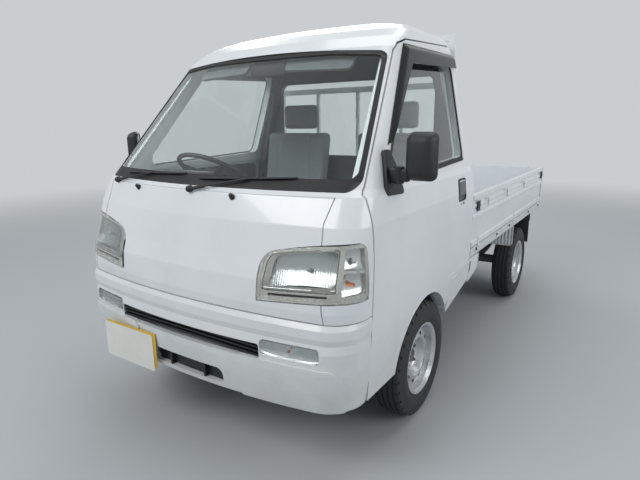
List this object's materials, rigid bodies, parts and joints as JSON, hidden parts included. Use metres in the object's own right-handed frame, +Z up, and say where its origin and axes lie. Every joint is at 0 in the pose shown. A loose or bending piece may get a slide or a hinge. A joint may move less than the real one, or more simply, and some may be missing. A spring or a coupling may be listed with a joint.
{
  "type": "kei truck",
  "caption": "Small cab-over pickup truck with a two-seat cab, a flat bed with three drop sides, opening doors, steered front wheels and a leaf-sprung rear axle.",
  "frame": {"origin": "on the ground, at the middle of the truck's length and width", "axes": "+Z up, the front faces -Y, +X is the truck's left side"},
  "size_m": [1.7654, 3.395, 1.78],
  "materials": {
    "white_paint": "gloss",
    "dark_paint": "satin",
    "steel_wheel": "satin",
    "tyre_rubber": "matte",
    "seal_rubber": "matte",
    "black_plastic": "grained",
    "grey_plastic": "grained",
    "smoked_plastic": "gloss",
    "glass": "clear",
    "lamp_clear": "clear lens",
    "lamp_red": "clear lens",
    "seat_cloth": "woven",
    "cast_iron": "rough",
    "plate_white": "satin"
  },
  "bodies": {
    "truck": {"cab_shell": "white_paint", "cab_floor": "white_paint", "windshield": "glass", "windshield_gasket": "seal_rubber", "rear_window": "glass", "front_panel": "white_paint", "corner_panels": "white_paint", "headlamps": "lamp_clear", "front_bumper": "white_paint", "bumper_grille": "black_plastic", "indicators": "lamp_clear", "ladder_frame": "dark_paint", "bed_floor": "white_paint", "bed_hinges": "white_paint", "headboard": "white_paint", "front_suspension": "dark_paint", "rear_axle": "cast_iron", "leaf_springs": "dark_paint", "engine_block": "cast_iron", "propeller_shaft": "dark_paint", "fuel_tank": "dark_paint", "exhaust": "cast_iron", "spare_wheel": "tyre_rubber", "rear_mudguards": "black_plastic", "tail_lamps": "lamp_red", "dashboard": "grey_plastic", "steering_column": "grey_plastic", "seat_cushions": "seat_cloth", "seat_backs": "seat_cloth", "wipers": "black_plastic", "number_plates": "plate_white"},
    "steer_left": {"knuckle_left": "cast_iron"},
    "steer_right": {"knuckle_right": "cast_iron"},
    "door_left": {"door_left": "white_paint", "door_glass_left": "glass", "mirror_left": "black_plastic", "visor_left": "smoked_plastic"},
    "door_right": {"door_right": "white_paint", "door_glass_right": "glass", "mirror_right": "black_plastic", "visor_right": "smoked_plastic"},
    "gate_left": {"gate_left": "white_paint"},
    "gate_right": {"gate_right": "white_paint"},
    "tailgate": {"tailgate": "white_paint"},
    "steering_wheel": {"steering_wheel": "black_plastic"},
    "wheel_front_left": {"rim_front_left": "steel_wheel", "tyre_front_left": "tyre_rubber"},
    "wheel_front_right": {"rim_front_right": "steel_wheel", "tyre_front_right": "tyre_rubber"},
    "wheel_rear_left": {"rim_rear_left": "steel_wheel", "tyre_rear_left": "tyre_rubber"},
    "wheel_rear_right": {"rim_rear_right": "steel_wheel", "tyre_rear_right": "tyre_rubber"}
  },
  "joints": [
    {"name": "steer_left", "type": "hinge", "parent": "truck", "child": "steer_left", "pos_m": [0.59086, -0.918, 0.267], "axis": [-0.225, 0, 0.9744], "range_deg": [-33, 33]},
    {"name": "steer_right", "type": "hinge", "parent": "truck", "child": "steer_right", "pos_m": [-0.59086, -0.918, 0.267], "axis": [0.225, 0, 0.9744], "range_deg": [-33, 33]},
    {"name": "steering_wheel_turn", "type": "hinge", "parent": "truck", "child": "steering_wheel", "pos_m": [-0.345, -1.12, 1.085], "axis": [0, 0.5299, 0.848], "range_deg": [-528, 528]},
    {"name": "wheel_front_left_spin", "type": "hinge", "parent": "steer_left", "child": "wheel_front_left", "pos_m": [0.6525, -0.918, 0.267], "axis": [-1, 0, 0], "continuous": true},
    {"name": "wheel_rear_left_spin", "type": "hinge", "parent": "truck", "child": "wheel_rear_left", "pos_m": [0.6525, 0.982, 0.267], "axis": [-1, 0, 0], "continuous": true},
    {"name": "door_left_swing", "type": "hinge", "parent": "truck", "child": "door_left", "pos_m": [0.722, -1.485, 0.9], "axis": [0, 0, -1], "range_deg": [0, 65]},
    {"name": "gate_left_drop", "type": "hinge", "parent": "truck", "child": "gate_left", "pos_m": [0.7325, 0.6785, 0.651], "axis": [0, 1, 0], "range_deg": [0, 175]},
    {"name": "wheel_front_right_spin", "type": "hinge", "parent": "steer_right", "child": "wheel_front_right", "pos_m": [-0.6525, -0.918, 0.267], "axis": [-1, 0, 0], "continuous": true},
    {"name": "wheel_rear_right_spin", "type": "hinge", "parent": "truck", "child": "wheel_rear_right", "pos_m": [-0.6525, 0.982, 0.267], "axis": [-1, 0, 0], "continuous": true},
    {"name": "door_right_swing", "type": "hinge", "parent": "truck", "child": "door_right", "pos_m": [-0.722, -1.485, 0.9], "axis": [0, 0, 1], "range_deg": [0, 65]},
    {"name": "gate_right_drop", "type": "hinge", "parent": "truck", "child": "gate_right", "pos_m": [-0.7325, 0.6785, 0.651], "axis": [0, -1, 0], "range_deg": [0, 175]},
    {"name": "tailgate_drop", "type": "hinge", "parent": "truck", "child": "tailgate", "pos_m": [0, 1.6925, 0.651], "axis": [-1, 0, 0], "range_deg": [0, 175]}
  ],
  "couplings": [
    {"joint": "steer_right", "follows": "steer_left", "ratio": 1},
    {"joint": "steering_wheel_turn", "follows": "steer_left", "ratio": 16}
  ]
}
